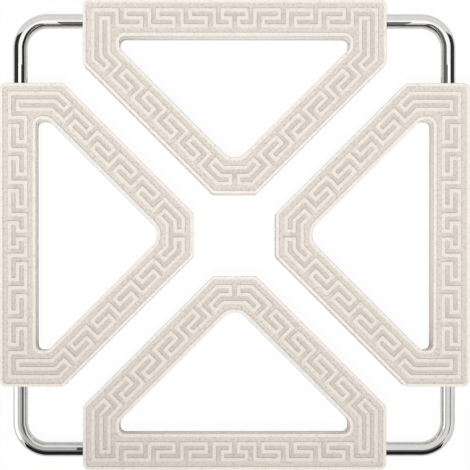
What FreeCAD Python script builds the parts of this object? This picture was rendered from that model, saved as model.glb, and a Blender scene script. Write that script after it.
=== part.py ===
import FreeCAD, Part
import math
import os
import Sketcher

# Expanding trivet: four key-patterned panels that slide apart on four bent corner rods.
# Frame: millimetres, +Z up, origin on the table under the centre, front panel towards -Y.
# The trivet is drawn half open. Every panel is the front one turned about Z.

sides = ["front", "right", "back", "left"]      # each a quarter turn on from the last

sizes = {
    # panel outline
    "panel_length": (131.25, "outer side of one panel"),
    "end_side": (27.5, "short side that the rod goes into"),
    "apex_flat": (18.75, "blunt inner point"),
    "bar_width": (15.75, "width of the bar round the opening"),
    "spread": (8.475, "how far each panel stands out from the closed place"),
    "corner_radius": (3.0, "square corners of the outline"),
    "bend_radius": (3.0, "blunt corners of the outline at its end sides"),
    "point_radius": (1.6, "corners of the blunt inner point"),
    "opening_radius": (2.5, "square corners of the opening"),
    "opening_bend": (4.5, "blunt corners of the opening at its end sides"),
    "apex_radius": (6.0, "corners of the opening at its inner point"),
    # heights
    "foot_stand": (1.0, "how far the feet stand out below"),
    "body_height": (11.7, "panel without its feet"),
    "rod_height": (6.3, "rod axis above the table"),
    # cover
    "relief": (0.6, "raised rim and key line above the ground"),
    "outer_rim": (1.5, "raised rim along the outline"),
    "opening_rim": (1.65, "raised rim along the opening"),
    "line_width": (1.75, "raised key line"),
    "line_root": (0.3, "how deep the key line is rooted in the ground"),
    "cover_wall": (1.5, "skirt of the cover"),
    "cover_top": (1.0, "cover above the frame, under the relief"),
    "edge_radius": (0.4, "softened top edges"),
    "frame_clearance": (0.1, "cover to frame"),
    # rods and what holds them
    "rod_diameter": (6.35, "bent rod"),
    "rod_inset": (8.4, "rod axis inside the panel's outer side"),
    "rod_bend": (12.0, "bend of the rod's centre line"),
    "rod_reach": (43.0, "rod inside a panel"),
    "rod_hole_clearance": (0.3, "rod to cover, all round"),
    "running_clearance": (0.1, "rod to bush, all round"),
    "bush_length": (26.0, "guide bush"),
    "bush_wall": (0.7, "guide bush"),
    "bush_fit": (0.02, "bush to channel, all round"),
    "stop_length": (3.0, "ring on the rod's end"),
    "stop_clearance": (0.3, "ring to channel, all round"),
    "channel_end": (2.0, "room behind the rod when the trivet is closed"),
    # screws
    "screw_diameter": (2.5, "shank"),
    "screw_length": (7.5, "shank under the head"),
    "head_diameter": (4.5, "pan head"),
    "head_height": (1.5, "pan head"),
    "head_recess": (0.3, "how far the head sits under the underside"),
    "screw_clearance": (0.15, "shank and head to the lower frame"),
    "thread_fit": (0.02, "shank to its pilot hole"),
    "cross_length": (2.6, "cross recess"),
    "cross_width": (0.7, "cross recess"),
    "cross_depth": (0.9, "cross recess"),
    # feet
    "foot_diameter": (8.0, "round foot"),
    "foot_seat": (0.9, "foot inside its recess"),
    "foot_clearance": (0.05, "foot to its recess"),
    "foot_edge": (0.4, "rounded lower edge"),
}

# Key line: counts and shares
keyUnits = 3                        # whole keys between the middle and each outer corner
diagonalKeys = 4                    # whole keys along each diagonal
rowShares = (0.28, 0.5, 0.72)       # rows of the key line across the bar
columnShare = 1 / 15.5              # one column, as a share of the span to the third row
diagonalPitchShare = 3 / 70         # one column on the diagonal, as a share of its length
diagonalStartShare = 7.5 / 70       # first crossing on the diagonal
screwShare = 0.5                    # screw's place along the diagonal
squareShare = 0.5                   # most that a square corner takes of the opening's end side
bluntShare = 0.4                    # most that a blunt corner takes of it
closeShare = 1e-3                   # two points meet within this share of an edge's length

doc = FreeCAD.newDocument("expanding_trivet")
sheet = doc.addObject("Spreadsheet::Sheet", "sizes")
for row, (alias, (number, note)) in enumerate(sizes.items(), start=1):
    sheet.set(f"A{row}", note)
    sheet.set(f"B{row}", str(number))
    sheet.setAlias(f"B{row}", alias)
doc.recompute()


def value(expression):
    """The number that an expression on the sheet gives."""
    return float(sheet.evalExpression(expression))


# Distances that several pieces share, as expressions on the sheet
mitre = "tan(22.5 deg)"
halfLength = "(sizes.panel_length / 2)"
halfApex = "(sizes.apex_flat / 2)"
outerReach = f"({halfLength} + sizes.end_side + sizes.spread)"      # centre to outer side
endReach = f"({halfLength} + sizes.spread)"                         # centre to end of the end side
apexReach = f"({halfApex} + sizes.spread)"                          # centre to the blunt point
barMiddle = "(sizes.bar_width / 2)"
openingEnd = f"(sizes.end_side - (1 + {mitre}) * sizes.bar_width)"  # end side of the opening
rodReach = f"({outerReach} - sizes.rod_inset)"                      # centre to a rod's axis
topHeight = "(sizes.foot_stand + sizes.body_height)"
groundHeight = f"({topHeight} - sizes.relief)"
ceiling = f"({groundHeight} - sizes.cover_top)"
frameInset = "(sizes.cover_wall + sizes.frame_clearance)"
frameEnd = f"({halfLength} - {frameInset})"
rodStart = f"({halfLength} - sizes.rod_reach)"                      # centre to a rod's inner end
rodRadius = "(sizes.rod_diameter / 2)"
bushBore = f"({rodRadius} + sizes.running_clearance)"
bushRadius = f"({bushBore} + sizes.bush_wall)"
channelRadius = f"({bushRadius} + sizes.bush_fit)"
stopRadius = f"({channelRadius} - sizes.stop_clearance)"
channelDepth = f"(sizes.rod_reach - {frameInset} + sizes.spread + sizes.channel_end)"
headBottom = "(sizes.foot_stand + sizes.head_recess)"
headTop = f"({headBottom} + sizes.head_height)"
footTop = "(sizes.foot_stand + sizes.foot_seat)"


# Small helpers

def bind(item, **properties):
    """Bind properties to expressions; __ stands for a dot in a property's path."""
    for path, expression in properties.items():
        item.setExpression(path.replace("__", "."), expression)


def turned(item, quarter):
    """Put a piece drawn for the front side on another side."""
    item.Placement = FreeCAD.Placement(
        FreeCAD.Vector(), FreeCAD.Rotation(FreeCAD.Vector(0, 0, 1), 90 * quarter))


def newSketch(body, name, role, height="0"):
    """A sketch on one of the body's own origin planes, raised by a height."""
    plane = [item for item in body.Origin.OriginFeatures if item.Role == role][0]
    sketch = body.newObject("Sketcher::SketchObject", name)
    sketch.AttachmentSupport = (plane, [""])
    sketch.MapMode = "FlatFace"
    bind(sketch, AttachmentOffset__Base__z=height)
    return sketch


def constrain(sketch, name, expression, *where):
    """Add one driving distance, bound to the sheet."""
    kind, *points = where
    index = sketch.addConstraint(Sketcher.Constraint(kind, *points, value(expression)))
    sketch.renameConstraint(index, name)
    sketch.setExpression(f"Constraints.{name}", expression)


def loopRows(inset):
    """Half widths and reaches of a loop's three pairs of corners, at an inset from the outline."""
    return [
        (f"({halfLength} - {inset})", f"({outerReach} - {inset})"),
        (f"({halfLength} - {inset})", f"({endReach} + {mitre} * {inset})"),
        (f"({halfApex} - {mitre} * {inset})", f"({apexReach} + {inset})"),
    ]


def loopCorners(inset):
    """The six corners of such a loop as numbers, anticlockwise from the front left."""
    rows = [(value(half), -value(reach)) for half, reach in loopRows(inset)]
    right = [(half, y) for half, y in rows]
    left = [(-half, y) for half, y in reversed(rows)]
    return [left[-1]] + right + left[:-1]


def drawLoop(sketch, name, inset):
    """A panel's outline, moved inwards by the inset, with every corner bound to the sheet."""
    corners = [FreeCAD.Vector(x, y, 0) for x, y in loopCorners(inset)]
    first = sketch.GeometryCount
    count = len(corners)
    for index in range(count):
        sketch.addGeometry(Part.LineSegment(corners[index], corners[(index + 1) % count]))
    for index in range(count):
        following = first + (index + 1) % count
        sketch.addConstraint(Sketcher.Constraint("Coincident", first + index, 2, following, 1))
    pairs = [(0, 1), (5, 2), (4, 3)]                # left and right corner of each row
    for row, (left, right) in enumerate(pairs):
        half, reach = loopRows(inset)[row]
        ends = (first + left, 1, first + right, 1)
        sketch.addConstraint(Sketcher.Constraint("Symmetric", *ends, -2))
        constrain(sketch, f"{name}_width_{row}", f"2 * {half}", "DistanceX", *ends)
        constrain(sketch, f"{name}_reach_{row}", reach, "DistanceY", first + left, 1, -1, 1)


def ringSketch(body, name, inset, innerInset, height):
    """A panel's ring, narrowed by an inset along the outline and one along the opening."""
    sketch = newSketch(body, name, "XY_Plane", height)
    drawLoop(sketch, "outer", inset)
    drawLoop(sketch, "inner", f"(sizes.bar_width - {innerInset})")
    return sketch


def pad(body, name, sketch, length):
    feature = body.newObject("PartDesign::Pad", name)
    feature.Profile = sketch
    bind(feature, Length=length)
    doc.recompute()
    return feature


def pocket(body, name, sketch, depth, upwards=False):
    before = body.Shape.Volume
    feature = body.newObject("PartDesign::Pocket", name)
    feature.Profile = sketch
    feature.Reversed = upwards
    bind(feature, Length=depth)
    doc.recompute()
    if feature.Shape.Volume >= before:
        raise RuntimeError(f"{name} cuts nothing")
    return feature


def uprightEdges(shape, corners):
    """Names of the vertical edges that stand on the given corners."""
    names = []
    for index, edge in enumerate(shape.Edges, start=1):
        ends = [vertex.Point for vertex in edge.Vertexes]
        for x, y in corners:
            if all(math.hypot(end.x - x, end.y - y) < edge.Length * closeShare for end in ends):
                names.append(f"Edge{index}")
    return names


def topEdges(shape):
    """Names of the edges that lie in the shape's top face."""
    top = shape.BoundBox.ZMax
    return [f"Edge{index}" for index, edge in enumerate(shape.Edges, start=1)
            if top - edge.BoundBox.ZMin < edge.Length * closeShare]


def roundEdges(body, name, base, edges, radius):
    feature = body.newObject("PartDesign::Fillet", name)
    feature.Base = (base, edges)
    bind(feature, Radius=radius)
    doc.recompute()
    return feature


def cylinder(name, radius, height, at, along="z"):
    """A cylinder from a point, along x, against x or up, its sizes and place bound to the sheet."""
    item = doc.addObject("Part::Cylinder", name)
    axes = {"x": FreeCAD.Vector(1, 0, 0), "-x": FreeCAD.Vector(-1, 0, 0), "z": FreeCAD.Vector(0, 0, 1)}
    item.Placement.Rotation = FreeCAD.Rotation(FreeCAD.Vector(0, 0, 1), axes[along])
    bind(item, Radius=radius, Height=height)
    bind(item, Placement__Base__x=at[0], Placement__Base__y=at[1], Placement__Base__z=at[2])
    return item


def group(name, items):
    item = doc.addObject("Part::Compound", name)
    item.Links = items
    return item


def cut(name, base, tool):
    item = doc.addObject("Part::Cut", name)
    item.Base = base
    item.Tool = tool
    item.Refine = False
    return item


def fuse(name, base, tool):
    item = doc.addObject("Part::Fuse", name)
    item.Base = base
    item.Tool = tool
    item.Refine = False
    return item


# Key line

def keyPath():
    """The middle of the key line, one closed path, mirrored about the panel's middle."""
    rowA, rowB, rowC = [value("sizes.bar_width") * share for share in rowShares]
    half, apex, slope = value(halfLength), value(halfApex), value(mitre)
    outer, endSide, inner = value(outerReach), value(endReach), value(apexReach)
    column = (half - rowC) * columnShare
    diagonal = (half - apex) * math.sqrt(2)
    pitch = diagonal * diagonalPitchShare
    start = diagonal * diagonalStartShare

    def onSide(columns, inset):
        return (-column * columns, -outer + inset)

    def onDiagonal(along, inset):
        shift = math.sqrt(0.5)
        return (-half + (along + inset) * shift, -endSide + (along - inset) * shift)

    def outerCorner(inset):
        return (-half + inset, -outer + inset)

    def bluntCorner(inset):
        return (-half + inset, -endSide - slope * inset)

    def apexCorner(inset):
        return (-apex + slope * inset, -inner - inset)

    # middle of the outer side
    path = [onSide(1.5, rowA), onSide(1.5, rowB), onSide(0.5, rowB), onSide(0.5, rowC)]
    path += [onSide(2.5, rowC), onSide(2.5, rowA)]
    # whole keys along the outer side
    for unit in range(keyUnits):
        first = 2.5 + 4 * unit
        path += [onSide(first + 3, rowA), onSide(first + 3, rowB), onSide(first + 1, rowB)]
        path += [onSide(first + 1, rowC), onSide(first + 4, rowC), onSide(first + 4, rowA)]
    # round the end side in all three rows
    path += [outerCorner(rowA), bluntCorner(rowA), onDiagonal(start, rowA), onDiagonal(start, rowB)]
    path += [bluntCorner(rowB), outerCorner(rowB), (outerCorner(rowC)[0], outerCorner(rowB)[1])]
    path += [bluntCorner(rowC)]
    # whole keys along the diagonal
    for unit in range(diagonalKeys):
        first = start + (1 + 4 * unit) * pitch
        path += [onDiagonal(first, rowC), onDiagonal(first, rowA)]
        path += [onDiagonal(first + 3 * pitch, rowA), onDiagonal(first + 3 * pitch, rowB)]
        path += [onDiagonal(first + pitch, rowB)]
        path += [onDiagonal(first + pitch, rowC)]
    last = start + (1 + 4 * diagonalKeys) * pitch
    path += [onDiagonal(last, rowC), onDiagonal(last, rowA)]
    # round the blunt inner point
    path += [apexCorner(rowA), (-column / 2, apexCorner(rowA)[1]), (-column / 2, apexCorner(rowB)[1])]
    path += [apexCorner(rowB), onDiagonal(last + pitch, rowB), onDiagonal(last + pitch, rowC)]
    path += [apexCorner(rowC)]
    return path + [(-x, y) for x, y in reversed(path)]


def besidePath(path, distance):
    """The closed path moved sideways by a distance, with mitred corners."""
    moved = []
    count = len(path)
    for index in range(count):
        (ax, ay), (bx, by), (cx, cy) = path[index - 1], path[index], path[(index + 1) % count]
        inLength, outLength = math.hypot(bx - ax, by - ay), math.hypot(cx - bx, cy - by)
        inX, inY = (bx - ax) / inLength, (by - ay) / inLength
        outX, outY = (cx - bx) / outLength, (cy - by) / outLength
        scale = distance / (1 + inX * outX + inY * outY)
        moved.append((bx - (inY + outY) * scale, by + (inX + outX) * scale))
    return moved


def keyLine(name):
    """The raised key line: the band round its path, rooted in the cover's ground."""
    path = keyPath()
    bottom = value(f"{groundHeight} - sizes.line_root")
    wires = []
    for side in (-1, 1):
        edge = [FreeCAD.Vector(x, y, bottom)
                for x, y in besidePath(path, side * value("sizes.line_width / 2"))]
        wires.append(Part.makePolygon(edge + edge[:1]))
    band = Part.Face(wires, "Part::FaceMakerBullseye")
    item = doc.addObject("Part::Feature", name)
    item.Shape = band.extrude(FreeCAD.Vector(0, 0, value("sizes.relief + sizes.line_root")))
    return item


# Panels

def addCover(side, quarter):
    """Soft cover: skirt, ground, raised rims and key line, open below, with a hole at each end."""
    body = doc.addObject("PartDesign::Body", f"{side}_cover_shell")
    block = pad(body, f"{side}_cover_block", ringSketch(
        body, f"{side}_cover_outline", "0", "0", "sizes.foot_stand"), "sizes.body_height")
    outline, opening = loopCorners("0"), loopCorners("sizes.bar_width")
    rounds = [
        ("square_corners", outline[:2], "sizes.corner_radius"),
        ("blunt_corners", outline[2:3] + outline[5:], "sizes.bend_radius"),
        ("point_corners", outline[3:5], "sizes.point_radius"),
        ("opening_corners", opening[:2],
         f"min(sizes.opening_radius; {squareShare} * {openingEnd})"),
        ("opening_bends", opening[2:3] + opening[5:],
         f"min(sizes.opening_bend; {bluntShare} * {openingEnd} / {mitre})"),
        ("opening_point", opening[3:5], "sizes.apex_radius"),
    ]
    for name, corners, radius in rounds:
        block = roundEdges(body, f"{side}_{name}", block, uprightEdges(block.Shape, corners), radius)
    roundEdges(body, f"{side}_top_edges", block, topEdges(block.Shape), "sizes.edge_radius")
    field = ringSketch(body, f"{side}_field_outline", "sizes.outer_rim", "sizes.opening_rim", topHeight)
    pocket(body, f"{side}_field", field, "sizes.relief")
    cavity = ringSketch(
        body, f"{side}_cavity_outline", "sizes.cover_wall", "sizes.cover_wall", "sizes.foot_stand")
    pocket(body, f"{side}_cavity", cavity, f"{ceiling} - sizes.foot_stand", upwards=True)
    hole = cylinder(f"{side}_rod_hole", f"{rodRadius} + sizes.rod_hole_clearance",
                    "sizes.panel_length", (f"-{halfLength}", f"-{rodReach}", "sizes.rod_height"), "x")
    drilled = cut(f"{side}_drilled_shell", body, hole)
    cover = fuse(f"{side}_cover", drilled, keyLine(f"{side}_key_line"))
    turned(cover, quarter)
    return cover


def screwPlaces():
    """One screw in the middle of the outer side and one on each diagonal."""
    across = f"({halfLength} - {screwShare} * ({halfLength} - {halfApex}) - {barMiddle} * sqrt(0.5))"
    reach = f"({endReach} - {screwShare} * ({halfLength} - {halfApex}) + {barMiddle} * sqrt(0.5))"
    side = f"({outerReach} - {barMiddle})"
    return [("0", f"-{side}"), (f"-{across}", f"-{reach}"), (across, f"-{reach}")]


def footPlaces():
    """One foot beside each rod channel and one at the inner point."""
    across = f"({halfLength} - {barMiddle})"
    beside = f"({endReach} + {mitre} * {barMiddle})"
    return [(f"-{across}", f"-{beside}"), (across, f"-{beside}"), ("0", f"-({apexReach} + {barMiddle})")]


def channels(side, layer):
    """The two blind channels that the rods slide in, as cutting cylinders."""
    return [cylinder(f"{side}_{layer}_channel_{index}", channelRadius, channelDepth,
                     (x, f"-{rodReach}", "sizes.rod_height"), along)
            for index, (x, along) in enumerate([(frameEnd, "-x"), (f"-{frameEnd}", "x")])]


def addUpperFrame(side, quarter):
    """Upper half of the stiff frame, with half channels and pilot holes."""
    body = doc.addObject("PartDesign::Body", f"{side}_upper_block")
    pad(body, f"{side}_upper_pad", ringSketch(
        body, f"{side}_upper_outline", frameInset, frameInset, "sizes.rod_height"),
        f"{ceiling} - sizes.frame_clearance - sizes.rod_height")
    tools = channels(side, "upper")
    for index, (x, y) in enumerate(screwPlaces()):
        tools.append(cylinder(f"{side}_pilot_{index}", "sizes.screw_diameter / 2 + sizes.thread_fit",
                              "sizes.screw_length + sizes.thread_fit", (x, y, headTop)))
    frame = cut(f"{side}_upper_frame", body, group(f"{side}_upper_tools", tools))
    turned(frame, quarter)
    return frame


def addLowerFrame(side, quarter):
    """Lower half of the stiff frame, with half channels, screw holes and foot recesses."""
    body = doc.addObject("PartDesign::Body", f"{side}_lower_block")
    pad(body, f"{side}_lower_pad", ringSketch(
        body, f"{side}_lower_outline", frameInset, frameInset, "sizes.foot_stand"),
        "sizes.rod_height - sizes.foot_stand")
    tools = channels(side, "lower")
    for index, (x, y) in enumerate(screwPlaces()):
        tools.append(cylinder(f"{side}_head_room_{index}", "sizes.head_diameter / 2 + sizes.screw_clearance",
                              "sizes.head_recess + sizes.head_height", (x, y, "sizes.foot_stand")))
        tools.append(cylinder(f"{side}_shank_room_{index}",
                              "sizes.screw_diameter / 2 + sizes.screw_clearance",
                              "sizes.rod_height - sizes.foot_stand", (x, y, "sizes.foot_stand")))
    for index, (x, y) in enumerate(footPlaces()):
        tools.append(cylinder(f"{side}_foot_room_{index}", "sizes.foot_diameter / 2 + sizes.foot_clearance",
                              "sizes.foot_seat", (x, y, "sizes.foot_stand")))
    frame = cut(f"{side}_lower_frame", body, group(f"{side}_lower_tools", tools))
    turned(frame, quarter)
    return frame


def addScrews(side, quarter):
    """Three pan head screws with a cross recess, driven from below."""
    screws = []
    for index, (x, y) in enumerate(screwPlaces()):
        head = cylinder(f"{side}_head_{index}", "sizes.head_diameter / 2", "sizes.head_height",
                        (x, y, headBottom))
        shank = cylinder(f"{side}_shank_{index}", "sizes.screw_diameter / 2", "sizes.screw_length",
                         (x, y, headTop))
        arms = []
        for arm, (length, width) in enumerate([("cross_length", "cross_width"),
                                               ("cross_width", "cross_length")]):
            slot = doc.addObject("Part::Box", f"{side}_cross_{index}_{arm}")
            bind(slot, Length=f"sizes.{length}", Width=f"sizes.{width}", Height="sizes.cross_depth")
            bind(slot, Placement__Base__x=f"{x} - sizes.{length} / 2",
                 Placement__Base__y=f"{y} - sizes.{width} / 2", Placement__Base__z=headBottom)
            arms.append(slot)
        whole = fuse(f"{side}_screw_blank_{index}", head, shank)
        screws.append(cut(f"{side}_screw_{index}", whole, group(f"{side}_cross_{index}", arms)))
    screws = group(f"{side}_screws", screws)
    turned(screws, quarter)
    return screws


def addFeet(side, quarter):
    """Three round feet, set in the lower frame, each with a rounded lower edge."""
    feet = []
    for index, (x, y) in enumerate(footPlaces()):
        disc = cylinder(f"{side}_foot_disc_{index}", "sizes.foot_diameter / 2", footTop, (x, y, "0"))
        doc.recompute()
        lower = [number for number, edge in enumerate(disc.Shape.Edges, start=1)
                 if edge.Closed and edge.CenterOfMass.z < value("sizes.foot_edge")]
        foot = doc.addObject("Part::Fillet", f"{side}_foot_{index}")
        foot.Base = disc
        foot.Edges = [(number, value("sizes.foot_edge"), value("sizes.foot_edge")) for number in lower]
        feet.append(foot)
    feet = group(f"{side}_feet", feet)
    turned(feet, quarter)
    return feet


def addBushes(side, quarter):
    """Two plain guide bushes, one in each end of the panel."""
    bushes = []
    neighbours = [sides[(quarter + 1) % len(sides)], sides[quarter - 1]]
    for neighbour, x, along in zip(neighbours, [frameEnd, f"-{frameEnd}"], ["-x", "x"]):
        name = f"{side}_{neighbour}_bush"
        at = (x, f"-{rodReach}", "sizes.rod_height")
        sleeve = cylinder(f"{name}_sleeve", bushRadius, "sizes.bush_length", at, along)
        bore = cylinder(f"{name}_bore", bushBore, "sizes.bush_length", at, along)
        bush = cut(name, sleeve, bore)
        turned(bush, quarter)
        bushes.append(bush)
    return bushes


# Rods

def addRod(quarter):
    """Bent rod from this side's panel, round the corner, into the next panel."""
    names = [sides[quarter], sides[(quarter + 1) % len(sides)]]
    corner = "_".join(sorted(names, key=lambda name: name not in ("front", "back")))
    body = doc.addObject("PartDesign::Body", f"{corner}_rod")
    straight = f"({rodReach} - {rodStart} - sizes.rod_bend)"
    near, far, bend = value(rodStart), value(rodReach), value("sizes.rod_bend")

    path = newSketch(body, f"{corner}_rod_path", "XY_Plane", "sizes.rod_height")
    turn = FreeCAD.Vector(far - bend, -far + bend, 0)
    path.addGeometry(Part.LineSegment(FreeCAD.Vector(near, -far, 0), FreeCAD.Vector(far - bend, -far, 0)))
    path.addGeometry(Part.ArcOfCircle(
        Part.Circle(turn, FreeCAD.Vector(0, 0, 1), bend), -math.pi / 2, 0))
    path.addGeometry(Part.LineSegment(FreeCAD.Vector(far, -far + bend, 0), FreeCAD.Vector(far, -near, 0)))
    path.addConstraint(Sketcher.Constraint("Tangent", 0, 2, 1, 1))
    path.addConstraint(Sketcher.Constraint("Tangent", 1, 2, 2, 1))
    path.addConstraint(Sketcher.Constraint("Horizontal", 0))
    path.addConstraint(Sketcher.Constraint("Vertical", 2))
    path.addConstraint(Sketcher.Constraint("Equal", 0, 2))
    constrain(path, "bend", "sizes.rod_bend", "Radius", 1)
    constrain(path, "straight", straight, "DistanceX", 0, 1, 0, 2)
    constrain(path, "start_reach", rodReach, "DistanceY", 0, 1, -1, 1)
    constrain(path, "start_across", rodStart, "DistanceX", -1, 1, 0, 1)

    section = newSketch(body, f"{corner}_rod_section", "YZ_Plane", rodStart)
    section.addGeometry(Part.Circle(
        FreeCAD.Vector(-far, value("sizes.rod_height"), 0), FreeCAD.Vector(0, 0, 1), value(rodRadius)))
    constrain(section, "radius", rodRadius, "Radius", 0)
    constrain(section, "reach", rodReach, "DistanceX", 0, 3, -1, 1)
    constrain(section, "height", "sizes.rod_height", "DistanceY", -1, 1, 0, 3)

    pipe = body.newObject("PartDesign::AdditivePipe", f"{corner}_rod_sweep")
    pipe.Profile = section
    pipe.Spine = (path, ["Edge1", "Edge2", "Edge3"])
    doc.recompute()
    turned(body, quarter)
    return body


def addStops(quarter):
    """Rings fixed on the rod's two ends, which meet the bushes when the trivet is fully open."""
    stops = []
    side, following = sides[quarter], sides[(quarter + 1) % len(sides)]
    for name, turn, x, along in [(f"{side}_{following}_stop", quarter, rodStart, "x"),
                                 (f"{following}_{side}_stop", quarter + 1, f"-{rodStart}", "-x")]:
        at = (x, f"-{rodReach}", "sizes.rod_height")
        ring = cylinder(f"{name}_ring", stopRadius, "sizes.stop_length", at, along)
        bore = cylinder(f"{name}_bore", rodRadius, "sizes.stop_length", at, along)
        stop = cut(name, ring, bore)
        turned(stop, turn)
        stops.append(stop)
    return stops


# Build every piece, check it and write it

pieces = []
for quarter, side in enumerate(sides):
    pieces.append(addCover(side, quarter))
    pieces.append(addUpperFrame(side, quarter))
    pieces.append(addLowerFrame(side, quarter))
    pieces.append(addScrews(side, quarter))
    pieces.append(addFeet(side, quarter))
    pieces += addBushes(side, quarter)
    pieces.append(addRod(quarter))
    pieces += addStops(quarter)
doc.recompute()

for item in doc.Objects:
    if "Invalid" in item.State or "Error" in item.State:
        raise RuntimeError(f"{item.Name} failed: {item.State}")
for piece in pieces:
    if piece.Shape.isNull() or not piece.Shape.isValid():
        raise RuntimeError(f"{piece.Label} has no valid shape")

os.makedirs("parts", exist_ok=True)
for piece in pieces:
    piece.Shape.exportStep(f"parts/{piece.Label}.step")
    print(piece.Label, len(piece.Shape.Solids), round(piece.Shape.Volume))
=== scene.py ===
import math

import bpy
import numpy as np
from mathutils import Matrix, Vector


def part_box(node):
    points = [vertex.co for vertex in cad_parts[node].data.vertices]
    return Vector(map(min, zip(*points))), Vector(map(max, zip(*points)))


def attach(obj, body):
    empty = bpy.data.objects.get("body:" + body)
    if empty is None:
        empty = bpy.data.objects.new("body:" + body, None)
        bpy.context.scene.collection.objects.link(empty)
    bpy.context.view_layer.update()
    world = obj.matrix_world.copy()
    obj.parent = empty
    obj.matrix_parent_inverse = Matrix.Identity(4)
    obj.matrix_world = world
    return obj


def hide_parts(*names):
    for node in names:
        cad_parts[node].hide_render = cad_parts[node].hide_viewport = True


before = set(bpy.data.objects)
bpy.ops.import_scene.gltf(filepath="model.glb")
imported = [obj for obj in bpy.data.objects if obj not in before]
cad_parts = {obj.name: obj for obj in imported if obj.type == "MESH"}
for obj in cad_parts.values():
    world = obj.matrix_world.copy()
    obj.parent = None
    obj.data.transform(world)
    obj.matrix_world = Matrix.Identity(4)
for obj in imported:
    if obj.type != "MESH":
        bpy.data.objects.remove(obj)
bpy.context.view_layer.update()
sideNames = ["front", "right", "back", "left"]      # each a quarter turn on from the last
coverLow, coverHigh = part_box("front_cover")
rodLow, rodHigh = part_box("front_right_rod")
feetLow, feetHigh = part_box("front_feet")
print("frame loaded,", len(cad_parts), "nodes")


# Panel outline, all from the front panel

panel = {
    "endSide": 0.0275,          # short side that the rod goes into
    "apexFlat": 0.01875,        # blunt inner point
    "barWidth": 0.01575,        # bar round the opening
    "outerRim": 0.0015,         # raised rim along the outline
    "openingRim": 0.00165,      # raised rim along the opening
    "relief": 0.0006,           # rim and key line above the ground
    "cornerRadius": 0.003,      # square corners of the outline
    "bendRadius": 0.003,        # blunt corners of the outline at its end sides
    "innerRadius": 0.0016,      # corners of the blunt inner point
    "openingRadius": 0.0025,    # square corners of the opening
    "openingBend": 0.0045,      # blunt corners of the opening at its end sides
    "pointRadius": 0.006,       # corners of the opening at its inner point
}
panel["half"] = coverHigh.x
panel["outer"] = -coverLow.y
panel["inner"] = -coverHigh.y
panel["top"] = coverHigh.z
panel["bottom"] = coverLow.z
panel["ground"] = panel["top"] - panel["relief"]
panel["endReach"] = panel["outer"] - panel["endSide"]
bluntSlope = math.tan(math.radians(22.5))           # half of a blunt corner's turn
softBelow = 35                                      # edges that turn by fewer degrees shade soft


def loopCorners(inset):
    # The six corners of the outline moved inwards by each inset, anticlockwise from the front left:
    # a square corner moves along both its sides, a blunt one by the inset times tan 22.5 degrees.
    wide = panel["half"] - inset
    outer = panel["outer"] - inset
    bend = panel["endReach"] + bluntSlope * inset
    narrow = panel["apexFlat"] / 2 - bluntSlope * inset
    inner = panel["inner"] + inset
    xs = [-wide, wide, wide, narrow, -narrow, -wide]
    ys = [-outer, -outer, -bend, -inner, -inner, -bend]
    return np.stack([np.stack(xs), np.stack(ys)], axis=-1)          # corner, inset, xy


def roundCorners(corners, radius, support, steps):
    # Replaces each corner of closed outlines by an arc tangent to both sides, and adds one point
    # just outside each tangent point so that the flat stretches shade flat. The arc's points are
    # centre + radius * (direction in * sin(a) - normal in * cos(a)), a from 0 to the turn.
    before = np.roll(corners, 1, axis=0)
    after = np.roll(corners, -1, axis=0)
    inward = corners - before
    onward = after - corners
    inward /= np.linalg.norm(inward, axis=-1, keepdims=True)
    onward /= np.linalg.norm(onward, axis=-1, keepdims=True)
    cross = inward[..., 0] * onward[..., 1] - inward[..., 1] * onward[..., 0]
    dot = (inward * onward).sum(axis=-1)
    turn = np.arctan2(cross, dot)
    side = np.where(turn < 0, -1.0, 1.0)[..., None]
    normal = np.stack([-inward[..., 1], inward[..., 0]], axis=-1) * side
    radius = np.broadcast_to(radius, turn.shape)[..., None]
    tangent = radius * np.tan(np.abs(turn) / 2)[..., None]
    centre = corners - inward * tangent + normal * radius
    rows = [corners - inward * (tangent + support)]
    for step in range(steps + 1):
        angle = (np.abs(turn) * step / steps)[..., None]
        rows.append(centre + radius * (inward * np.sin(angle) - normal * np.cos(angle)))
    rows.append(corners + onward * (tangent + support))
    rounded = np.stack(rows, axis=1)
    return rounded.reshape(-1, *corners.shape[1:])


def closedGrid(points):
    # Mesh of a grid that closes in both directions. Rows run along the path and columns round the
    # profile, so each face's normal is path direction x profile direction.
    rows, columns = points.shape[:2]
    index = np.arange(rows * columns).reshape(rows, columns)
    a = index
    b = np.roll(index, -1, axis=0)
    c = np.roll(b, -1, axis=1)
    d = np.roll(a, -1, axis=1)
    faces = np.stack([a, b, c, d], axis=-1).reshape(-1, 4)
    return points.reshape(-1, 3), faces


def newPiece(name, points, faces):
    if isinstance(faces, np.ndarray):
        faces = faces.tolist()
    mesh = bpy.data.meshes.new(name)
    mesh.from_pydata(points.tolist(), [], faces)
    mesh.validate()
    piece = bpy.data.objects.new(name, mesh)
    bpy.context.scene.collection.objects.link(piece)
    return piece


def shadeSoft(mesh):
    mesh.shade_smooth()
    mesh.set_sharp_from_angle(angle=math.radians(softBelow))


def quarterTurned(name, mesh, quarter):
    # The front side's mesh on another side: every point turned about Z by quarter * 90 degrees
    turned = mesh.copy()
    turned.name = name
    turned.transform(Matrix.Rotation(math.radians(90 * quarter), 4, "Z"))
    piece = bpy.data.objects.new(name, turned)
    bpy.context.scene.collection.objects.link(piece)
    return piece


# Covers: soft shell with skirt, rims and key line

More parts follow.
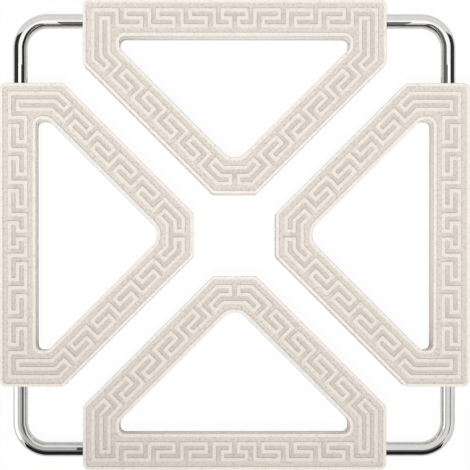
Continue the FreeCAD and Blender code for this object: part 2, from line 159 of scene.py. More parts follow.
coverShape = {
    "wall": 0.0015,             # skirt
    "topThickness": 0.001,      # cover above the frame, under the relief
    "edgeRadius": 0.0004,       # softened top edges
    "skirtRadius": 0.00015,     # lower edges of the skirt
    "shoulderRadius": 0.00022,  # rim's inner edge
    "footRadius": 0.00016,      # where the rim meets the ground
    "draft": 0.0004,            # how far a rim's side leans out at its foot
    "support": 0.00008,         # from each arc's end to a point that keeps the flat beside it flat
    "steps": 4,                 # in the section's arcs
    "bendSteps": 10,            # in the outline's corners
    "leastRadius": 0.0003,      # corners of the loops between outline and opening
    "holeClearance": 0.0003,    # rod to cover, all round
    "holeLip": 0.0003,          # flare of the rod hole at the outside
    "holeSpare": 0.001,         # how far the hole's cutter stands out at each end
    "holeSides": 72,
}

keyShape = {
    "width": 0.00175,           # raised line at half its height
    "rows": (0.00441, 0.007875, 0.01134),       # rows of the line, from the outline
    "units": 3,                 # whole keys between the middle and each outer corner
    "diagonalKeys": 4,          # whole keys along each diagonal
    "columnShare": 1 / 15.5,    # one column, as a share of the span to the third row
    "pitchShare": 3 / 70,       # one column on the diagonal, as a share of its length
    "startShare": 7.5 / 70,     # first crossing on the diagonal
    "draft": 0.00034,           # how far each side leans out from top to ground
    "shoulderRadius": 0.00022,
    "footRadius": 0.0002,
    "dip": 0.00004,             # how far the foot's fillet runs on under the ground
    "skirt": 0.0002,            # flat beyond the fillet, under the ground
    "root": 0.0003,             # how deep the line is rooted in the ground
    "sharpRadius": 0.00001,     # in place of none
    "cornerRadius": 0.00045,    # corners of the line, seen from above
    "support": 0.00012,
    "steps": 4,
}


def coverProfile():
    # The bar's section as (inset, height): outer wall up, over both rims, opening wall down and
    # back through the hollow underside
    shape = coverShape
    width, top, ground = panel["barWidth"], panel["top"], panel["ground"]
    rim, far = panel["outerRim"], panel["barWidth"] - panel["openingRim"]
    ceiling = ground - shape["topThickness"]
    lean = shape["draft"] / 2
    edge, skirt, shoulder, foot = (shape[key] for key in
                                   ["edgeRadius", "skirtRadius", "shoulderRadius", "footRadius"])
    table = [
        (0, panel["bottom"], skirt), (0, top, edge), (rim - lean, top, shoulder),
        (rim + lean, ground, foot), (far - lean, ground, foot), (far + lean, top, shoulder),
        (width, top, edge), (width, panel["bottom"], skirt),
        (width - shape["wall"], panel["bottom"], skirt), (width - shape["wall"], ceiling, foot),
        (shape["wall"], ceiling, foot), (shape["wall"], panel["bottom"], skirt)]
    table = np.array(table)
    # The section runs clockwise in (inset, height), so the arcs turn the other way by themselves
    return roundCorners(table[:, :2], table[:, 2], shape["support"], shape["steps"])


def coverShell():
    # The section carried round the ring: at each inset the outline's loop with its own corner
    # radius, which shrinks from the outline inwards and grows again towards the opening's rim
    shape = coverShape
    section = coverProfile()
    inset, height = section[:, 0], section[:, 1]
    toOpening = panel["barWidth"] - inset
    outline = [panel["cornerRadius"]] * 2 + [panel["bendRadius"]]
    outline += [panel["innerRadius"]] * 2 + [panel["bendRadius"]]
    opening = [panel["openingRadius"]] * 2 + [panel["openingBend"]]
    opening += [panel["pointRadius"]] * 2 + [panel["openingBend"]]
    nearOutline = inset < panel["barWidth"] / 2
    radius = np.stack([
        np.where(nearOutline, np.maximum(outside - inset, shape["leastRadius"]), within + toOpening)
        for outside, within in zip(outline, opening)])
    loops = roundCorners(loopCorners(inset), radius, shape["support"], shape["bendSteps"])
    heights = np.broadcast_to(height, loops.shape[:2])[..., None]
    return newPiece("cover_shell", *closedGrid(np.concatenate([loops, heights], axis=-1)))


def keyPath():
    # The middle of the key line: one closed path, mirrored about the panel's middle. Points are
    # given as columns along the outer side or along the diagonal, and a row across the bar.
    rowA, rowB, rowC = keyShape["rows"]
    half, outer, inner, endReach = (panel[key] for key in ["half", "outer", "inner", "endReach"])
    apex = panel["apexFlat"] / 2
    column = (half - rowC) * keyShape["columnShare"]
    diagonal = (half - apex) * math.sqrt(2)
    pitch = diagonal * keyShape["pitchShare"]
    start = diagonal * keyShape["startShare"]

    def onSide(columns, row):
        return (-column * columns, -outer + row)

    def onDiagonal(along, row):
        return (-half + (along + row) * math.sqrt(0.5), -endReach + (along - row) * math.sqrt(0.5))

    def outerCorner(row):
        return (-half + row, -outer + row)

    def bluntCorner(row):
        return (-half + row, -endReach - bluntSlope * row)

    def apexCorner(row):
        return (-apex + bluntSlope * row, -inner - row)

    # middle of the outer side
    path = [onSide(1.5, rowA), onSide(1.5, rowB), onSide(0.5, rowB), onSide(0.5, rowC)]
    path += [onSide(2.5, rowC), onSide(2.5, rowA)]
    # whole keys along the outer side
    for unit in range(keyShape["units"]):
        first = 2.5 + 4 * unit
        path += [onSide(first + 3, rowA), onSide(first + 3, rowB), onSide(first + 1, rowB)]
        path += [onSide(first + 1, rowC), onSide(first + 4, rowC), onSide(first + 4, rowA)]
    # round the end side in all three rows
    path += [outerCorner(rowA), bluntCorner(rowA), onDiagonal(start, rowA), onDiagonal(start, rowB)]
    path += [bluntCorner(rowB), outerCorner(rowB), (outerCorner(rowC)[0], outerCorner(rowB)[1])]
    path += [bluntCorner(rowC)]
    # whole keys along the diagonal
    for unit in range(keyShape["diagonalKeys"]):
        first = start + (1 + 4 * unit) * pitch
        path += [onDiagonal(first, rowC), onDiagonal(first, rowA)]
        path += [onDiagonal(first + 3 * pitch, rowA), onDiagonal(first + 3 * pitch, rowB)]
        path += [onDiagonal(first + pitch, rowB), onDiagonal(first + pitch, rowC)]
    last = start + (1 + 4 * keyShape["diagonalKeys"]) * pitch
    path += [onDiagonal(last, rowC), onDiagonal(last, rowA)]
    # round the blunt inner point
    path += [apexCorner(rowA), (-column / 2, apexCorner(rowA)[1])]
    path += [(-column / 2, apexCorner(rowB)[1]), apexCorner(rowB)]
    path += [onDiagonal(last + pitch, rowB), onDiagonal(last + pitch, rowC), apexCorner(rowC)]
    return np.array(path + [(-x, y) for x, y in reversed(path)])


def keyLine():
    # The line's section as (offset, height), carried along the path. Each offset moves the corners
    # to the mitre, corner + (normal in + normal out) * offset / (1 + their dot product), and
    # rounds them there with one radius.
    shape = keyShape
    top, ground = panel["top"], panel["ground"]
    low = ground - shape["dip"]
    base = ground - shape["root"]
    crown = (shape["width"] - shape["draft"]) / 2
    foot = (shape["width"] + shape["draft"]) / 2
    wide = foot + shape["footRadius"] + shape["skirt"]
    right = [(wide, base, 0), (wide, low, 0), (foot, low, shape["footRadius"]),
             (crown, top, shape["shoulderRadius"])]
    left = [(-offset, height, radius) for offset, height, radius in reversed(right)]
    table = np.array(right + left)
    radius = np.maximum(table[:, 2], shape["sharpRadius"])
    section = roundCorners(table[:, :2], radius, shape["support"] / 2, shape["steps"])
    offset, height = section[:, 0], section[:, 1]
    path = keyPath()
    inward = path - np.roll(path, 1, axis=0)
    onward = np.roll(path, -1, axis=0) - path
    inward /= np.linalg.norm(inward, axis=1, keepdims=True)
    onward /= np.linalg.norm(onward, axis=1, keepdims=True)
    normals = np.stack([-(inward + onward)[:, 1], (inward + onward)[:, 0]], axis=1)
    mitre = normals / (1 + (inward * onward).sum(axis=1, keepdims=True))
    corners = path[:, None, :] + mitre[:, None, :] * offset[None, :, None]
    lines = roundCorners(corners, shape["cornerRadius"], shape["support"], shape["steps"])
    heights = np.broadcast_to(height, lines.shape[:2])[..., None]
    return newPiece("key_line", *closedGrid(np.concatenate([lines, heights], axis=-1)))


def turnedAlongX(name, stations, radii, height, across, sides):
    # A turned solid about a line along X: rings of points (x, radius * cos a, radius * sin a),
    # closed by one face at each end
    angle = np.linspace(0, 2 * math.pi, sides, endpoint=False)
    x = np.repeat(np.array(stations)[:, None], sides, axis=1)
    y = across + np.array(radii)[:, None] * np.cos(angle)
    z = height + np.array(radii)[:, None] * np.sin(angle)
    rings = np.stack([x, y, z], axis=-1).reshape(-1, 3)
    index = np.arange(len(rings)).reshape(len(stations), sides)
    a, b = index[:-1], index[1:]
    quads = np.stack([a, np.roll(a, -1, 1), np.roll(b, -1, 1), b], axis=-1).reshape(-1, 4)
    faces = quads.tolist()
    faces.append(index[0][::-1].tolist())
    faces.append(index[-1].tolist())
    return newPiece(name, rings, faces)


def boolean(piece, tool, operation):
    modifier = piece.modifiers.new(operation, "BOOLEAN")
    modifier.operation = operation
    modifier.solver = "EXACT"
    modifier.object = tool
    return modifier


def applied(piece):
    # The piece's mesh with its modifiers worked in
    depsgraph = bpy.context.evaluated_depsgraph_get()
    mesh = bpy.data.meshes.new_from_object(piece.evaluated_get(depsgraph))
    piece.modifiers.clear()
    return mesh


def makeCovers(finish):
    shell, line = coverShell(), keyLine()
    rodRadius = (rodHigh.z - rodLow.z) / 2
    holeRadius = rodRadius + coverShape["holeClearance"]
    lip, half, spare = coverShape["holeLip"], panel["half"], coverShape["holeSpare"]
    wide = holeRadius + lip
    stations = [-half - spare, -half, -half + lip, half - lip, half, half + spare]
    radii = [wide, wide, holeRadius, holeRadius, wide, wide]
    reach = rodHigh.x - rodRadius
    height = (rodHigh.z + rodLow.z) / 2
    hole = turnedAlongX("rod_hole", stations, radii, height, -reach, coverShape["holeSides"])
    boolean(shell, hole, "DIFFERENCE")
    boolean(shell, line, "UNION")
    mesh = applied(shell)
    for helper in (shell, line, hole):
        bpy.data.objects.remove(helper)
    shadeSoft(mesh)
    mesh.materials.clear()
    mesh.materials.append(finish)
    for quarter, side in enumerate(sideNames):
        cover = quarterTurned(f"{side}_key_cover", mesh, quarter)
        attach(cover, f"{side}_panel")
        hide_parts(f"{side}_cover")
    print("covers:", len(mesh.polygons), "faces each")


# Rods: bent tube with broken end edges

rodShape = {
    "bend": 0.012,              # bend of the rod's centre line
    "endEdge": 0.0005,          # rounded end edges
    "sides": 64,                # round the rod
    "bendSteps": 40,
    "edgeSteps": 4,
}


def rodMesh():
    # A circle carried along straight, quarter bend and straight. The bend's centre line is
    # (far - bend + bend * sin a, -far + bend - bend * cos a), and each ring lies square to it.
    shape = rodShape
    radius = (rodHigh.z - rodLow.z) / 2
    height = (rodHigh.z + rodLow.z) / 2
    near, far, bend, edge = rodLow.x, rodHigh.x - radius, shape["bend"], shape["endEdge"]
    turn = np.linspace(0, math.pi / 2, shape["bendSteps"] + 1)
    centreX = far - bend + bend * np.sin(turn)
    centreY = -far + bend - bend * np.cos(turn)
    rise = np.linspace(0, math.pi / 2, shape["edgeSteps"] + 1)
    inset = edge * (1 - np.sin(rise))               # end edge: along the rod
    shrink = edge * (1 - np.cos(rise))[::-1]        # end edge: off the radius
    straight = near + inset[::-1]
    firstX = np.concatenate([straight, [near + 2 * edge]])
    ringRadius = np.concatenate([radius - shrink, [radius]])
    x = np.concatenate([firstX, centreX, np.full(len(firstX), far)])
    y = np.concatenate([np.full(len(firstX), -far), centreY, -firstX[::-1]])
    heading = np.concatenate([np.zeros(len(firstX)), turn, np.full(len(firstX), math.pi / 2)])
    ring = np.concatenate([ringRadius, np.full(len(turn), radius), ringRadius[::-1]])
    around = np.linspace(0, 2 * math.pi, shape["sides"], endpoint=False)
    side = ring[:, None] * np.cos(around)
    points = np.stack([
        x[:, None] - np.sin(heading)[:, None] * side,
        y[:, None] + np.cos(heading)[:, None] * side,
        height + ring[:, None] * np.sin(around)], axis=-1)
    rows, columns = points.shape[:2]
    index = np.arange(rows * columns).reshape(rows, columns)
    a, b = index[:-1], index[1:]
    quads = np.stack([a, b, np.roll(b, -1, 1), np.roll(a, -1, 1)], axis=-1).reshape(-1, 4)
    ends = [index[0][::-1].tolist(), index[-1].tolist()]
    faces = quads[:, ::-1].tolist() + ends
    return points.reshape(-1, 3), faces


def makeRods(finish):
    points, faces = rodMesh()
    first = newPiece("rod_blank", points, faces)
    mesh = first.data
    shadeSoft(mesh)
    mesh.materials.append(finish)
    names = ["front_right_rod", "back_right_rod", "back_left_rod", "front_left_rod"]
    for quarter, name in enumerate(names):
        rod = quarterTurned(f"{name}_chrome", mesh, quarter)
        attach(rod, name)
        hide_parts(name)
    bpy.data.objects.remove(first)
    print("rods:", len(faces), "faces each")


# Feet: moulded rubber discs

footShape = {
    "edge": 0.0004,             # rounded lower edge
    "groove": 0.00025,          # ring groove in the sole, deep
    "grooveIn": 0.0017,         # groove's inner radius
    "grooveOut": 0.0024,        # groove's outer radius
    "soft": 0.0001,             # radius and slope of the groove's edges
    "sharpRadius": 0.000005,    # in place of none
    "support": 0.000025,
    "steps": 4,
    "sides": 56,
}


def footPlaces():
    # Beside each rod channel and at the inner point, in the middle of the bar
    middle = panel["barWidth"] / 2
    across = panel["half"] - middle
    beside = -(panel["endReach"] + bluntSlope * middle)
    return [(-across, beside), (across, beside), (0.0, -(panel["inner"] + middle))]


def feetMesh():
    # A profile (radius, height) turned about each foot's own upright axis
    shape = footShape
    low, high = feetLow.z, feetHigh.z
    wide = feetHigh.x - (panel["half"] - panel["barWidth"] / 2)
    soft, edge = shape["soft"], shape["edge"]
    table = [
        (shape["grooveIn"] - soft, low, 0.0), (shape["grooveIn"], low, soft),
        (shape["grooveIn"] + soft, low + shape["groove"], soft),
        (shape["grooveOut"] - soft, low + shape["groove"], soft), (shape["grooveOut"], low, soft),
        (wide, low, edge), (wide, high, soft), (wide / 2, high, 0.0)]
    table = np.array(table)
    radius = np.maximum(table[:, 2], shape["sharpRadius"])
    section = roundCorners(table[:, :2], radius, shape["support"], shape["steps"])
    section = section[2:-2]
    around = np.linspace(0, 2 * math.pi, shape["sides"], endpoint=False)
    allPoints, allFaces = [], []
    for x, y in footPlaces():
        first = sum(len(points) for points in allPoints)
        rings = np.stack([
            x + section[:, :1] * np.cos(around), y + section[:, :1] * np.sin(around),
            np.repeat(section[:, 1:], shape["sides"], axis=1)], axis=-1)
        rows = len(section)
        index = first + np.arange(rows * shape["sides"]).reshape(rows, shape["sides"])
        a, b = index[:-1], index[1:]
        quads = np.stack([a, np.roll(a, -1, 1), np.roll(b, -1, 1), b], axis=-1).reshape(-1, 4)
        poles = np.array([[x, y, low], [x, y, high]])
        bottom, top = first + rows * shape["sides"], first + rows * shape["sides"] + 1
        ringNext = np.roll(index, -1, 1)
        allFaces += quads.tolist()
        allFaces += [[bottom, after, here] for here, after in zip(index[0], ringNext[0])]
        allFaces += [[top, here, after] for here, after in zip(index[-1], ringNext[-1])]
        allPoints += [rings.reshape(-1, 3), poles]
    return np.concatenate(allPoints), allFaces


def makeFeet(finish):
    points, faces = feetMesh()
    first = newPiece("feet_blank", points, faces)
    mesh = first.data
    shadeSoft(mesh)
    mesh.materials.append(finish)
    for quarter, side in enumerate(sideNames):
        feet = quarterTurned(f"{side}_rubber_feet", mesh, quarter)
        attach(feet, f"{side}_panel")
        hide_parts(f"{side}_feet")
    bpy.data.objects.remove(first)
    print("feet:", len(faces), "faces a panel")


# Finishes

class Reading:
    # One output socket. Sums on it become Math nodes.
    def __init__(self, finish, socket):
        self.finish = finish
        self.socket = socket

    def maths(self, operation, *values):
        # The reading itself is the first value
        inputs = dict(enumerate((self, *values)))
        return self.finish.node("ShaderNodeMath", {"operation": operation}, inputs)

    def __add__(self, other):
        return self.maths("ADD", other)

    def __sub__(self, other):
        return self.maths("SUBTRACT", other)

    def __rsub__(self, other):
        return (self * -1.0) + other

    def __mul__(self, other):
        return self.maths("MULTIPLY", other)

    __radd__ = __add__
    __rmul__ = __mul__

    def __truediv__(self, other):
        return self.maths("DIVIDE", other)

    def clamped(self):
        return self.maths("MAXIMUM", 0.0).maths("MINIMUM", 1.0)

    def above(self, level):
        return self.maths("GREATER_THAN", level)


class Finish:
    # A material's node tree, with one way to add a node
    def __init__(self, tree):
        self.tree = tree
        tree.nodes.clear()

    def node(self, kind, settings=None, inputs=None, output=0):
        made = self.tree.nodes.new(kind)
        for key, setting in (settings or {}).items():
            setattr(made, key, setting)
        for key, given in (inputs or {}).items():
            if isinstance(given, Reading):
                self.tree.links.new(given.socket, made.inputs[key])
            else:
                made.inputs[key].default_value = given
        return Reading(self, made.outputs[output] if made.outputs else None)

    def place(self, scale=(1, 1, 1)):
        coordinates = self.node("ShaderNodeTexCoord", output="Object")
        return self.node("ShaderNodeMapping", None, {"Vector": coordinates, "Scale": scale})

    def noise(self, place, scale, detail=2.0, roughness=0.5):
        return self.node("ShaderNodeTexNoise", None, {
            "Vector": place, "Scale": scale, "Detail": detail, "Roughness": roughness})

    def mix(self, factor, first, second):
        return self.node("ShaderNodeMix", {"data_type": "RGBA"},
                         {0: factor, 6: first, 7: second}, output=2)

    def bump(self, height, strength, distance):
        return self.node("ShaderNodeBump", None, {
            "Height": height, "Strength": strength, "Distance": distance})

    def close(self, shader, output="ShaderNodeOutputMaterial"):
        self.node(output, None, {"Surface": shader})


def newFinish(name):
    material = bpy.data.materials.new(name)
    material.use_nodes = True
    return material, Finish(material.node_tree)


def rgb(*levels):
    # Linear colour of a display colour from 0 to 255
    share = np.array(levels) / 255
    linear = np.where(share <= 0.04045, share / 12.92, ((share + 0.055) / 1.055) ** 2.4)
    return (*linear.tolist(), 1.0)


coverLook = {
    "line": rgb(244, 235, 226),
    # painted highlight on the rounded outer edge
    "edge": rgb(255, 250, 244),
    # painted highlight on the opening's rim
    "rim": rgb(249, 241, 232),
    "ground": rgb(229, 221, 213),
    # painted shade in the recess between the key line's rows
    "shadedGround": rgb(218, 210, 202),
    # the silicone's colour lightened as painted light on the walls
    "skirt": rgb(250, 245, 237),
    # painted contact shade at the foot of the walls
    "skirtFootShade": rgb(198, 194, 187),
    "cloud": rgb(196, 188, 180),
    "speck": rgb(150, 118, 104),
    "pinkSpeck": rgb(205, 160, 150),
    "footShadeHeight": 0.005,        # painted contact shade at the foot of the skirt: how high it reaches
    "rimHighlightFade": 3.0,             # how soon the opening's rim takes its painted highlight
    "fineScale": 900.0,         # fine clouds: waves to a metre, level they start from, gain
    "fineStart": 0.46,
    "fineGain": 3.0,
    "fineShare": 0.95,          # and their share on the ground
    "fineLess": 0.6,            # less on the raised lines and on the skirt
    "broadScale": 170.0,        # broad clouds
    "broadShare": 0.15,
    "roughness": 0.62,
    "roughnessSpread": 0.16,
    "grainScale": 5200.0,
    "grainStrength": 0.22,
    "grainDepth": 0.00012,
}

# Specks: cells to a metre, share of the cells with one, size in its cell, strength
speckKinds = [
    {"colour": "pinkSpeck", "cells": 520.0, "share": 0.12, "size": 0.40, "strength": 0.2},
    {"colour": "speck", "cells": 700.0, "share": 0.10, "size": 0.34, "strength": 0.2},
]
speckEdge = 8.0                 # how sharp a speck's edge is


def coverFinish():
    look = coverLook
    material, finish = newFinish("cream_silicone")
    place = finish.place()
    x, y, height = (finish.node("ShaderNodeSeparateXYZ", None, {"Vector": place}, output=axis)
                    for axis in range(3))
    raised = ((height - panel["ground"]) / panel["relief"]).clamped()
    edge = coverShape["edgeRadius"]
    below = ((panel["ground"] - edge / 2 - height) / edge).clamped()

    # distance inwards from the outline: the bar is nearest to its outer side, end side, diagonal
    # or blunt point, with the panel folded over by its larger and smaller coordinate
    x, y = x.maths("ABSOLUTE"), y.maths("ABSOLUTE")
    out, across = x.maths("MAXIMUM", y), x.maths("MINIMUM", y)
    stand = panel["endReach"] - panel["half"]
    inset = (panel["outer"] - out).maths("MINIMUM", panel["half"] - across)
    inset = inset.maths("MINIMUM", (out - across - stand) * math.sqrt(0.5))
    inset = inset.maths("MINIMUM", out - panel["inner"])
    # painted shade: the ground between the key line's rows is darkened, most at the middle row, for
    # the shade in the narrow recesses there
    rowB, rowC = keyShape["rows"][1:]
    between = ((rowC - rowB) - (inset - rowB).maths("ABSOLUTE")) * (1 / keyShape["width"])
    ground = finish.mix(between.clamped(), look["ground"], look["shadedGround"])
    # painted highlight: the outer rim turns lighter towards its rounded outer edge, where it
    # catches the light
    edgeHighlight = 1.0 - inset / panel["outerRim"]
    rimHighlight = (inset - panel["barWidth"]) / panel["openingRim"] + 1.0
    line = finish.mix(edgeHighlight.clamped(), look["line"], look["edge"])
    # painted highlight: the opening's rim lighter than the key line
    line = finish.mix((rimHighlight * look["rimHighlightFade"]).clamped(), line, look["rim"])
    colour = finish.mix(raised, ground, line)
    # painted contact shade: the skirt darkens towards its foot
    low = ((panel["bottom"] + look["footShadeHeight"] - height) / look["footShadeHeight"]).clamped()
    # painted light: the walls take a lighter copy of the silicone's colour
    colour = finish.mix(below, colour, finish.mix(low, look["skirt"], look["skirtFootShade"]))

    # clouds of two sizes, the fine ones fainter on the raised lines and the skirt
    fine = finish.noise(place, look["fineScale"], 3.0, 0.6)
    broad = finish.noise(place, look["broadScale"], 2.0)
    fineCloud = ((fine - look["fineStart"]) * look["fineGain"]).clamped()
    fineCloud = fineCloud * (look["fineShare"] - (raised + below) * look["fineLess"])
    cloud = fineCloud + (broad - 0.5).clamped() * look["broadShare"]
    colour = finish.mix(cloud, colour, look["cloud"])

    # specks: a small dot in some of the cells of a Voronoi pattern
    for kind in speckKinds:
        settings, inputs = {"feature": "F1"}, {"Vector": place, "Scale": kind["cells"]}
        distance = finish.node("ShaderNodeTexVoronoi", settings, inputs)
        chance = finish.node("ShaderNodeTexVoronoi", settings, inputs, output="Color")
        lot = finish.node("ShaderNodeSeparateColor", None, {"Color": chance})
        dot = ((kind["size"] - distance) * speckEdge).clamped() * lot.above(1 - kind["share"])
        colour = finish.mix(dot * kind["strength"], colour, look[kind["colour"]])

    grain = finish.noise(place, look["grainScale"], 2.0)
    roughness = look["roughness"] + (fine - 0.5) * look["roughnessSpread"]
    normal = finish.bump(grain + fine * 0.6, look["grainStrength"], look["grainDepth"])
    shader = finish.node("ShaderNodeBsdfPrincipled", None, {
        "Base Color": colour, "Roughness": roughness, "Normal": normal,
        "IOR": 1.41, "Specular IOR Level": 0.35})
    finish.close(shader)
    return material


chromeLook = {
    "bright": (0.68, 0.675, 0.665, 1.0),
    "dull": (0.60, 0.595, 0.585, 1.0),
    "hazeScale": 260.0,         # soft clouds between the two
    "roughness": 0.045,
    "roughnessSpread": 0.04,
    "rippleScale": 90.0,        # slow waves of the bent tube's surface
    "rippleStrength": 0.05,
    "rippleDepth": 0.0002,
}


def chromeFinish():
    look = chromeLook
    material, finish = newFinish("bright_chrome")
    place = finish.place()
    haze = finish.noise(place, look["hazeScale"], 4.0, 0.6)
    ripple = finish.noise(place, look["rippleScale"], 1.0)
    colour = finish.mix(((haze - 0.5) * 2.0).clamped(), look["bright"], look["dull"])
    shader = finish.node("ShaderNodeBsdfPrincipled", None, {
        "Base Color": colour, "Metallic": 1.0,
        "Roughness": look["roughness"] + (haze - 0.5) * look["roughnessSpread"],
        "Normal": finish.bump(ripple, look["rippleStrength"], look["rippleDepth"])})
    finish.close(shader)
    return material


# Plain finishes share the values at the top, unless they give their own
plainLook = {
    "metallic": 0.0,
    "cloudScale": 400.0,
    "cloudStart": 0.35,
    "cloudGain": 2.2,
    "grainScale": 3000.0,
    "grainStrength": 0.2,
    "grainDepth": 0.0001,
    "roughnessSpread": 0.2,
    "stretch": (1, 1, 1),
}
plainLooks = {
    "frame_nylon": {"light": rgb(206, 198, 186), "dark": rgb(192, 184, 172), "roughness": 0.55,
                    "grainStrength": 0.35},
    "bush_acetal": {"light": rgb(236, 235, 230), "dark": rgb(226, 225, 219), "roughness": 0.38},
    "stop_steel": {"light": rgb(176, 176, 178), "dark": rgb(150, 150, 153), "roughness": 0.34,
                   "metallic": 1.0, "stretch": (0.1, 0.1, 1)},
    "screw_steel": {"light": rgb(186, 186, 190), "dark": rgb(150, 151, 156), "roughness": 0.3,
                    "metallic": 1.0},
    "foot_rubber": {"light": rgb(128, 122, 115), "dark": rgb(104, 99, 93), "roughness": 0.8,
                    "grainStrength": 0.4},
}


def plainFinish(name):
    # Two close colours in soft clouds, with a fine grain in roughness and surface
    look = plainLook | plainLooks[name]
    material, finish = newFinish(name)
    place = finish.place(look["stretch"])
    cloud = finish.noise(place, look["cloudScale"], 3.0, 0.55)
    grain = finish.noise(place, look["grainScale"], 2.0)
    clouded = ((cloud - look["cloudStart"]) * look["cloudGain"]).clamped()
    shader = finish.node("ShaderNodeBsdfPrincipled", None, {
        "Base Color": finish.mix(clouded, look["light"], look["dark"]),
        "Metallic": look["metallic"],
        "Roughness": look["roughness"] + (grain - 0.5) * look["roughnessSpread"],
        "Normal": finish.bump(grain, look["grainStrength"], look["grainDepth"])})
    finish.close(shader)
    return material


def dressCadNodes():
    # The pieces kept as they are: frames, bushes, stops and screws
    finishes = {
        "_frame": plainFinish("frame_nylon"),
        "_bush": plainFinish("bush_acetal"),
        "_stop": plainFinish("stop_steel"),
        "_screws": plainFinish("screw_steel"),
    }
    for name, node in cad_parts.items():
        for ending, finish in finishes.items():
            if name.endswith(ending):
                node.data.materials.clear()
                node.data.materials.append(finish)
    print("CAD nodes dressed")


makeCovers(coverFinish())
makeRods(chromeFinish())
makeFeet(plainFinish("foot_rubber"))
dressCadNodes()


# Floor, cards, light and camera

studio = {
    "floorSize": 3.0,
    "floorGlow": 0.96,          # share of the floor's white that soft shadows don't reach
    "mirroredGlow": 0.3,        # the same where metal mirrors the floor
    "contact": 0.0009,          # how far the dark contact shadow reaches
    "paper": (0.9, 0.9, 0.9, 1.0),
    "world": 0.48,              # soft light from all round
    "lamp": (-0.25, -0.6, 1.85),    # high, a little in front and left, with a soft-edged beam
    "lampAim": (-0.02, 0.1, 0.0),
    "lampRadius": 0.08,
    "lampPower": 87.0,
    "beam": 18.0,               # degrees across, at the table's depth
    "beamWiden": 1.7,           # and this much wider from side to side
}


def makeFloor():
    # White for what is seen straight or mirrored, with the object's shadow in the rest of it
    half = studio["floorSize"] / 2
    corners = np.array([(-half, -half, 0), (half, -half, 0), (half, half, 0), (-half, half, 0)])
    floor = newPiece("floor", corners, [[0, 1, 2, 3]])
    material, finish = newFinish("white_floor")
    camera = finish.node("ShaderNodeLightPath", output="Is Camera Ray")
    glossy = finish.node("ShaderNodeLightPath", output="Is Glossy Ray")
    through = finish.node("ShaderNodeLightPath", output="Is Transmission Ray")
    seen = ((camera + through) * studio["floorGlow"] + glossy * studio["mirroredGlow"]).clamped()
    open = finish.node("ShaderNodeAmbientOcclusion", {"samples": 8},
                       {"Distance": studio["contact"]}, output=1)
    paper = finish.node("ShaderNodeBsdfDiffuse", None, {"Color": studio["paper"]})
    glow = finish.node("ShaderNodeEmission", None, {"Color": (1, 1, 1, 1), "Strength": 1.0})
    finish.close(finish.node("ShaderNodeMixShader", None, {0: seen * open, 1: paper, 2: glow}))
    floor.data.materials.append(material)


def makeCard(name, corners, level):
    # A card that only mirrored rays meet, as a studio sets beside chrome
    card = newPiece(name, np.array(corners), [[0, 1, 2, 3]])
    material, finish = newFinish(name)
    colour = (level, level, level, 1)
    finish.close(finish.node("ShaderNodeEmission", None, {"Color": colour, "Strength": 1.0}))
    card.data.materials.append(material)
    for ray in ("camera", "diffuse", "transmission", "volume_scatter", "shadow"):
        setattr(card, f"visible_{ray}", False)


# Each strip card runs along X or Y over a stretch, between two edges given as (across, height).
# Cards on both sides are mirrored about a line a little right of the middle.
cardHigh, cardLow = 0.05, 0.0005
mirrorLine = 0.00125
cards = [
    # what the back rods mirror: black and grey from the middle, white over their tops
    {"name": "overhead_black", "along": "y", "edges": [(-0.068, cardHigh), (0.0, cardHigh)],
     "stretch": (0.044, 0.115), "level": 0.02},
    {"name": "overhead_grey", "along": "y", "edges": [(0.0, cardHigh), (0.068, cardHigh)],
     "stretch": (0.044, 0.115), "level": 0.15},
    {"name": "middle_black", "along": "x", "edges": [(-0.06, 0.0204), (0.03, cardHigh)],
     "stretch": (-0.1, 0.1), "level": 0.03},
    {"name": "level_grey", "along": "y", "edges": [(0.069, cardHigh), (0.083, cardHigh)],
     "stretch": (0.032, 0.0805), "level": 0.22, "mirrored": True},
    {"name": "level_white", "along": "y", "edges": [(0.069, cardHigh), (0.115, cardHigh)],
     "stretch": (0.0805, 0.0983), "level": 1.38, "mirrored": True},
    {"name": "upright_white", "along": "y", "edges": [(0.083, cardHigh), (0.115, cardHigh)],
     "stretch": (0.0705, 0.0805), "level": 1.6, "mirrored": True},
    {"name": "upright_black", "along": "y", "edges": [(0.115, cardHigh), (0.1375, cardLow)],
     "stretch": (0.06, 0.108), "level": 0.04, "mirrored": True},
    # in front of the front level rods
    {"name": "front_grey", "along": "x", "edges": [(-0.1, cardHigh), (-0.1205, cardHigh)],
     "stretch": (-0.115, 0.115), "level": 0.22},
    {"name": "front_black", "along": "x", "edges": [(-0.1205, cardHigh), (-0.138, cardLow)],
     "stretch": (-0.13, 0.13), "level": 0.02},
    # left of and over the front left upright
    {"name": "left_white", "along": "y", "edges": [(-0.137, cardHigh), (-0.139, cardLow)],
     "stretch": (-0.12, -0.06), "level": 1.6},
    {"name": "left_line", "along": "y", "edges": [(-0.1157, cardHigh), (-0.1097, cardHigh)],
     "stretch": (-0.095, -0.065), "level": 0.4},
    {"name": "left_grey", "along": "y", "edges": [(-0.099, cardHigh), (-0.0716, cardHigh)],
     "stretch": (-0.095, -0.065), "level": 0.6},
    {"name": "left_dark", "along": "y", "edges": [(-0.0716, cardHigh), (-0.054, cardHigh)],
     "stretch": (-0.1, -0.065), "level": 0.1},
    {"name": "left_shade", "along": "y", "edges": [(-0.054, cardHigh), (-0.02, cardHigh)],
     "stretch": (-0.1, -0.065), "level": 0.25},
    # over the front right upright, and a high slanted one that the left upright sees edge on
    {"name": "right_line", "along": "y", "edges": [(0.112, cardHigh), (0.1275, cardHigh)],
     "stretch": (-0.1, -0.065), "level": 0.2},
    {"name": "right_grey", "along": "y", "edges": [(0.055, cardHigh), (0.069, cardHigh)],
     "stretch": (-0.095, -0.065), "level": 0.5},
    {"name": "right_white", "along": "y", "edges": [(-0.005, 0.0386), (0.035, 0.0531)],
     "stretch": (-0.105, -0.065), "level": 1.6},
]


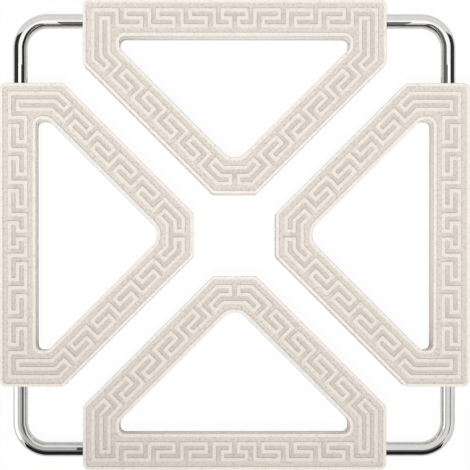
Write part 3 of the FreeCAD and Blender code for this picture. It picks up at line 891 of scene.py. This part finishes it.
def makeCards():
    for card in cards:
        (near, nearHeight), (far, farHeight) = card["edges"]
        low, high = card["stretch"]
        flat = [(near, low, nearHeight), (far, low, farHeight),
                (far, high, farHeight), (near, high, nearHeight)]
        if card["along"] == "x":
            flat = [(y, x, z) for x, y, z in flat]
        if card.get("mirrored"):
            mirrored = [(mirrorLine * 2 - x, y, z) for x, y, z in flat]
            makeCard(f"{card['name']}_right", flat, card["level"])
            makeCard(f"{card['name']}_left", mirrored, card["level"])
        else:
            makeCard(card["name"], flat, card["level"])


def makeLights():
    world = bpy.data.worlds.new("studio")
    world.use_nodes = True
    finish = Finish(world.node_tree)
    camera = finish.node("ShaderNodeLightPath", output="Is Camera Ray")
    glossy = finish.node("ShaderNodeLightPath", output="Is Glossy Ray")
    through = finish.node("ShaderNodeLightPath", output="Is Transmission Ray")
    seen = (camera + glossy + through).clamped()
    soft, white = (
        finish.node("ShaderNodeBackground", None, {"Color": (1, 1, 1, 1), "Strength": strength})
        for strength in (studio["world"], 1.0))
    finish.close(finish.node("ShaderNodeMixShader", None, {0: seen, 1: soft, 2: white}),
                 "ShaderNodeOutputWorld")
    bpy.context.scene.world = world
    light = bpy.data.lights.new("lamp", "SPOT")
    light.energy = studio["lampPower"]
    light.shadow_soft_size = studio["lampRadius"]
    light.spot_size = math.radians(studio["beam"])
    light.spot_blend = 1.0
    lamp = bpy.data.objects.new("lamp", light)
    lamp.location = studio["lamp"]
    beam = Vector(studio["lampAim"]) - lamp.location
    lamp.rotation_euler = beam.to_track_quat("-Z", "Y").to_euler()
    lamp.scale = (studio["beamWiden"], 1.0, 1.0)
    lamp.visible_glossy = False
    bpy.context.scene.collection.objects.link(lamp)


view = {
    "place": (-0.019, -0.0245, 0.663),
    "aim": (-0.0162, -0.0295, 0.0),     # where the lens axis meets the table
    "centre": (0.00049, 0.00046),       # what the shifted lens brings to the middle
    "lens": 115.3,
    "sensor": 36.0,
}


def makeCamera():
    data = bpy.data.cameras.new("camera")
    data.lens = view["lens"]
    data.sensor_width = view["sensor"]
    reach = view["lens"] / view["sensor"] / view["place"][2]
    data.shift_x = (view["centre"][0] - view["aim"][0]) * reach
    data.shift_y = (view["centre"][1] - view["aim"][1]) * reach
    camera = bpy.data.objects.new("camera", data)
    place, aim = Vector(view["place"]), Vector(view["aim"])
    forward = (aim - place).normalized()
    right = forward.cross(Vector((0, 1, 0))).normalized()
    up = right.cross(forward)
    turn = Matrix((right, up, -forward)).transposed()
    camera.matrix_world = Matrix.Translation(place) @ turn.to_4x4()
    bpy.context.scene.collection.objects.link(camera)
    bpy.context.scene.camera = camera


makeFloor()
makeCards()
makeLights()
makeCamera()
bpy.context.scene.view_settings.view_transform = "Standard"
print("stage, light and camera set")
